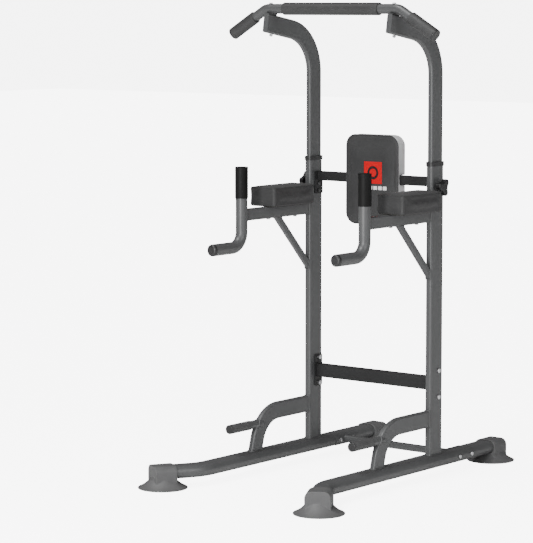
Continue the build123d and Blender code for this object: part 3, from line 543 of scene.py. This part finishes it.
def addWeld(name, path, body="frame", radius=None):
    # a tube whose radius scallops along the seam, with slow random swell
    r = radius or weld["radius"]
    steps = np.linalg.norm(np.roll(path, -1, 0) - path, axis=1)
    along = np.cumsum(steps)
    slow = 0.10 * np.sin(along / 0.021 + rng.uniform(0, 6))
    swell = 1 + slow + 0.06 * np.sin(along / 0.009 + rng.uniform(0, 6))
    scallop = 1 + weld["ripple"] * (np.abs(np.sin(np.pi * along / weld["pitch"])) - 0.5)
    verts, faces = tubeAlong(path, r * swell * scallop, 10)
    return addPiece(name, verts, faces, "frame_paint", body)


def ringCount(width, height):
    return int(2 * (width + height) / weld["step"])


postY = 0.212
postFront = postY - 0.040
postX = 0.290
baseSeam = 0.0839
armSeam = 0.9786
smallBead = 0.0028
handleAxis = postY - 0.451 + 0.0014
handleRadius = 0.022


def levelRing(x, y, z, ring):
    return np.stack([x + ring[:, 0], y + ring[:, 1], np.full(len(ring), z)], 1)


def uprightRing(x, y, z, ring):
    return np.stack([x + ring[:, 0], np.full(len(ring), y), z + ring[:, 1]], 1)


def seamRing(width, height, radius):
    return roundedRect(width, height, radius, ringCount(width, height))


for side, sign in (("left", -1), ("right", 1)):
    x = sign * postX
    onPost = postFront - weld["lift"]
    addWeld(f"{side}PostWeld", levelRing(x, postY, baseSeam, seamRing(0.030, 0.080, 0.010)))
    addWeld(f"{side}BraceTopWeld", uprightRing(x, onPost, 0.224, seamRing(0.024, 0.065, 0.007)))
    braceFoot = roundedRect(0.024, 0.0673, 0.007, ringCount(0.024, 0.067))
    addWeld(f"{side}BraceFootWeld", levelRing(x, -0.1565, baseSeam, braceFoot))
    ring = seamRing(0.025, 0.046, 0.005)
    addWeld(f"{side}ArmRearWeld", uprightRing(x, onPost, 1.002, ring))
    # the front seam follows the handle's round: y = axis + sqrt(radius^2 - x^2)
    onHandle = handleAxis + np.sqrt(handleRadius**2 - ring[:, 0] ** 2)
    addWeld(f"{side}ArmFrontWeld", np.stack([x + ring[:, 0], onHandle, 1.002 + ring[:, 1]], 1))
    ring = seamRing(0.020, 0.036, 0.005)
    addWeld(f"{side}StrutTopWeld", levelRing(x, postY - 0.231, armSeam, ring), radius=smallBead)
    ring = seamRing(0.020, 0.0375, 0.005)
    addWeld(f"{side}StrutLowWeld", uprightRing(x, onPost, 0.780, ring), radius=smallBead)
    # the peg's seam lies on the brace's bend, an arc about y = postY - 0.229, z = 0.094
    turn = np.linspace(0, 2 * np.pi, 84, endpoint=False)
    pegX, pegZ = 0.016 * np.cos(turn), 0.186 + 0.016 * np.sin(turn)
    pegY = (postY - 0.229) - np.sqrt(0.1625**2 - (pegZ - 0.094) ** 2)
    addWeld(f"{side}PegWeld", np.stack([x + pegX, pegY - 0.0004, pegZ], 1), radius=smallBead)
print("weld beads made")

# padded pieces
padding = {
    "backrest_cushion": {"voxel": 0.0045, "shrink": 0.0015, "cap": 0.006, "fill": 0.85},
    "left_arm_pad": {"voxel": 0.004, "shrink": 0.002, "cap": 0.007, "fill": 0.8},
    "right_arm_pad": {"voxel": 0.004, "shrink": 0.002, "cap": 0.007, "fill": 0.8},
}


def coords(mesh):
    co = np.empty(len(mesh.vertices) * 3)
    mesh.vertices.foreach_get("co", co)
    return co.reshape(-1, 3)


def outerCopy(node, name):
    # a merged copy of the part's skin, without shells that lie inside it
    mesh = nodes[node].data.copy()
    piece = bpy.data.objects.new(name, mesh)
    bpy.context.scene.collection.objects.link(piece)
    bpy.context.view_layer.objects.active = piece
    for other in bpy.context.selected_objects:
        other.select_set(False)
    piece.select_set(True)
    bpy.ops.object.mode_set(mode="EDIT")
    bpy.ops.mesh.select_all(action="SELECT")
    bpy.ops.mesh.remove_doubles(threshold=0.00002)
    bpy.ops.mesh.separate(type="LOOSE")
    bpy.ops.object.mode_set(mode="OBJECT")
    shells = [o for o in bpy.context.selected_objects if o.type == "MESH"]
    shells.sort(key=lambda o: np.ptp(coords(o.data), axis=0).prod())
    for inner in shells[:-1]:
        bpy.data.objects.remove(inner)
    outer = shells[-1]
    outer.name = name
    return outer


def applyAll(piece):
    bpy.context.view_layer.objects.active = piece
    for modifier in list(piece.modifiers):
        bpy.ops.object.modifier_apply(modifier=modifier.name)


def puff(node, name, spec, freedom):
    # cloth blown up from the part's shape, each point's move scaled by how free the cover is there
    piece = outerCopy(node, name)
    remesh = piece.modifiers.new("even", "REMESH")
    remesh.mode = "VOXEL"
    remesh.voxel_size = spec["voxel"]
    applyAll(piece)
    start = coords(piece.data)
    free = freedom(start)
    normals = np.empty(len(start) * 3)
    piece.data.vertices.foreach_get("normal", normals)
    normals = normals.reshape(-1, 3)
    cloth = piece.modifiers.new("cover", "CLOTH")
    cloth.settings.use_pressure = True
    cloth.settings.uniform_pressure_force = 4
    cloth.settings.effector_weights.gravity = 0
    cloth.settings.quality = 5
    cloth.point_cache.frame_end = 20
    scene = bpy.context.scene
    for step in range(1, 21):
        scene.frame_set(step)
    blown = piece.evaluated_get(bpy.context.evaluated_depsgraph_get())
    drift = coords(blown.data) - start
    move = normals * np.maximum((drift * normals).sum(1, keepdims=True), 0)
    piece.modifiers.remove(cloth)
    scene.frame_set(1)
    size = np.linalg.norm(move, axis=1, keepdims=True) + 1e-12
    move *= np.minimum(size, spec["cap"]) / size
    piece.data.vertices.foreach_set("co", (start + (move - normals * spec["shrink"]) * free[:, None]).ravel())
    piece.data.update()
    smooth = piece.modifiers.new("smooth", "SMOOTH")
    smooth.factor, smooth.iterations = 0.5, 1
    finer = piece.modifiers.new("finer", "SUBSURF")
    finer.levels = finer.render_levels = 1
    applyAll(piece)
    piece.data.polygons.foreach_set("use_smooth", np.ones(len(piece.data.polygons), bool))
    piece.data.materials.clear()
    piece.data.materials.append(mats["pad_vinyl"])
    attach(piece, "frame")
    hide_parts(node)
    return piece


def ramp(value, low, high):
    t = np.clip((value - low) / (high - low), 0, 1)
    return t * t * (3 - 2 * t)


backLow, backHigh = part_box("backrest_cushion")


def backFreedom(co):
    # free on the front, less near the front seam, held from the middle of the side to the back
    edge = np.minimum(backHigh.x - np.abs(co[:, 0]), np.minimum(co[:, 2] - backLow.z, backHigh.z - co[:, 2]))
    front = (1 - ramp(co[:, 1], backLow.y + 0.004, backLow.y + 0.03)) * ramp(edge, 0.003, 0.06)
    flank = 0.35 * ramp(co[:, 1], backLow.y + 0.004, backLow.y + 0.014)
    flank = flank * (1 - ramp(co[:, 1], backLow.y + 0.026, backLow.y + 0.038))
    return front + flank * (1 - ramp(edge, 0.004, 0.02))


backrestPad = puff("backrest_cushion", "backrestPad", padding["backrest_cushion"], backFreedom)
# painted sheen mask: faces that turn away from the front and back, within about 15 mm of the outline, get the
# lighter side colour as a painted highlight
paintedSheenBand = coords(backrestPad.data)
paintedSheenNormals = np.empty(len(paintedSheenBand) * 3)
backrestPad.data.vertices.foreach_get("normal", paintedSheenNormals)
paintedSheenRise = np.minimum(paintedSheenBand[:, 2] - backLow.z, backHigh.z - paintedSheenBand[:, 2])
paintedSheenEdge = np.minimum(backHigh.x - np.abs(paintedSheenBand[:, 0]), paintedSheenRise)
paintedSheenFacing = 1 - ramp(np.abs(paintedSheenNormals.reshape(-1, 3)[:, 1]), 0.45, 0.65)
light = backrestPad.data.attributes.new("side", "FLOAT", "POINT")
light.data.foreach_set("value", paintedSheenFacing * (1 - ramp(paintedSheenEdge, 0.015, 0.02)))

badge = {
    "rows": 40,
    "offset": 0.0003,
    "thick": 0.0004,
    "block": (0.017, 0.014),
    "pitch": 0.0225,
    "blocks": 6,
    "stripDrop": 0.016,
}


def addBadge(name, middle, width, height):
    # flat grid pressed onto the pad's front, then given its thickness
    n = badge["rows"]
    across, up = np.meshgrid(np.linspace(-0.5, 0.5, n), np.linspace(-0.5, 0.5, n))
    flat = np.full(n * n, backLow.y - 0.05)
    verts = np.stack([middle[0] + across.ravel() * width, flat, middle[1] + up.ravel() * height], 1)
    patch = addPiece(name, verts, gridFaces(n, n, closeColumns=False), "badge_print", "frame")
    press = patch.modifiers.new("press", "SHRINKWRAP")
    press.target = backrestPad
    press.wrap_method = "PROJECT"
    press.use_project_x = press.use_project_z = False
    press.use_project_y = True
    press.use_positive_direction = True
    press.use_negative_direction = False
    press.offset = badge["offset"]
    thick = patch.modifiers.new("thick", "SOLIDIFY")
    thick.thickness = badge["thick"]
    thick.offset = 1
    applyAll(patch)
    return patch


badgeLow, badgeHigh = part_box("backrest_badge")
badgeX = (badgeLow.x + badgeHigh.x) / 2
badgeMiddle = (badgeX, (badgeLow.z + badgeHigh.z) / 2)
redPatch = addBadge("badgePatch", badgeMiddle, badgeHigh.x - badgeLow.x, badgeHigh.z - badgeLow.z)
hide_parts("backrest_badge")
for block in range(badge["blocks"]):
    blockX = badgeX + (block - (badge["blocks"] - 1) / 2) * badge["pitch"]
    addBadge(f"badgeBlock{block + 1}", (blockX, badgeLow.z - badge["stripDrop"]), *badge["block"])

for side in ("left", "right"):
    node = f"{side}_arm_pad"
    low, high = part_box(node)
    mid = (low + high) / 2

    def armFreedom(co, low=low, high=high, mid=mid):
        # free on top and half way down the sides, held at the top seam and round the underside
        edgeX = (high.x - low.x) / 2 - np.abs(co[:, 0] - mid.x)
        edge = np.minimum(edgeX, (high.y - low.y) / 2 - np.abs(co[:, 1] - mid.y))
        top = ramp(co[:, 2], high.z - 0.02, high.z - 0.006) * (0.15 + 0.85 * ramp(edge, 0.004, 0.045))
        flank = 0.8 * np.clip(np.sin(np.pi * (co[:, 2] - low.z - 0.01) / (high.z - low.z - 0.02)), 0, 1)
        return np.maximum(top, flank * (1 - ramp(edge, 0.004, 0.02)) * (co[:, 2] > low.z + 0.01))

    puff(node, f"{side}ArmPad", padding[node], armFreedom)
print("pads made")

# feet with moulded edges
moulding = {"voxel": 0.0016, "rounds": 3}


def softCopy(node, name, finish, body):
    # an even net over the part's shape, relaxed so that its edges round off
    piece = outerCopy(node, name)
    remesh = piece.modifiers.new("even", "REMESH")
    remesh.mode = "VOXEL"
    remesh.voxel_size = moulding["voxel"]
    remesh.use_smooth_shade = True
    relax = piece.modifiers.new("relax", "SMOOTH")
    relax.factor, relax.iterations = 0.5, moulding["rounds"]
    applyAll(piece)
    piece.data.materials.clear()
    piece.data.materials.append(mats[finish])
    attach(piece, body)
    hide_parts(node)
    return piece


for side in ("left", "right"):
    for place in ("Front", "Rear"):
        softCopy(f"{side}_{place.lower()}_foot", f"{side}{place}Foot", "foot_rubber", "frame")
print("feet made")

# piping
piping = {"radius": 0.0017, "count": 520}


def addPiping(name, path):
    verts, faces = tubeAlong(path, piping["radius"], 10)
    return addPiece(name, verts, faces, "pad_vinyl", "frame")


outline = roundedRect(backHigh.x * 2 - 0.003, backHigh.z - backLow.z - 0.003, 0.0435, piping["count"])
middleZ = (backLow.z + backHigh.z) / 2
addPiping("backrestPiping", uprightRing(0.0, backLow.y + 0.0022, middleZ, outline))
for side in ("left", "right"):
    low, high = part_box(f"{side}_arm_pad")
    mid = (low + high) / 2
    outline = roundedRect(high.x - low.x - 0.005, high.y - low.y - 0.005, 0.010, piping["count"])
    addPiping(f"{side}PadTopPiping", levelRing(mid.x, mid.y, high.z - 0.0028, outline))
print("piping made")

# floor
floorSize = 30


def addFloor():
    mesh = bpy.data.meshes.new("floor")
    s = floorSize
    mesh.from_pydata([(-s, -s, 0), (s, -s, 0), (s, s, 0), (-s, s, 0)], [], [(0, 1, 2, 3)])
    mat = bpy.data.materials.new("floorFinish")
    mat.use_nodes = True
    tree = mat.node_tree
    shader = tree.nodes["Principled BSDF"]
    shader.inputs["Base Color"].default_value = (*studio["floor"], 1)
    shader.inputs["Roughness"].default_value = 0.9
    shader.inputs["Emission Color"].default_value = (1, 1, 1, 1)
    rays = tree.nodes.new("ShaderNodeLightPath")
    glow = addMath(tree, "MULTIPLY", rays.outputs["Is Camera Ray"], studio["floorGlow"])
    tree.links.new(glow, shader.inputs["Emission Strength"])
    mesh.materials.append(mat)
    floor = bpy.data.objects.new("floor", mesh)
    bpy.context.scene.collection.objects.link(floor)


addFloor()
